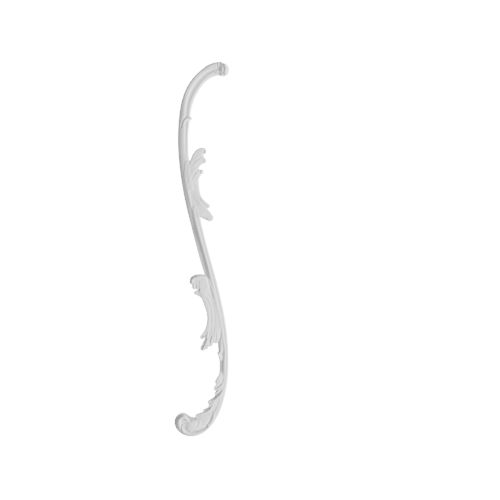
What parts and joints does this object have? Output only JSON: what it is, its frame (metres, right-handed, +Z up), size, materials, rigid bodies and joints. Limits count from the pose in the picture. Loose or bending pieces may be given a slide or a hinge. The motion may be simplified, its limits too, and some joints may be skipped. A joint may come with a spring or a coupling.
{
  "type": "scroll onlay",
  "caption": "Tall, narrow S-scroll onlay with moulded beads, two acanthus sprays, a curled top and a leafy volute; flat back for fixing to a wall or door.",
  "frame": {"origin": "on the flat back, behind the middle of the stem at mid-height", "axes": "+Z up along the onlay's height, -Y out of the wall towards the viewer, +Y into the wall, +X to the viewer's right"},
  "size_m": [0.0869, 0.0165, 0.6001],
  "materials": {
    "cast_plaster": "matt white, as cast or primed"
  },
  "bodies": {
    "root": {"scroll_onlay": "cast_plaster"}
  },
  "joints": []
}
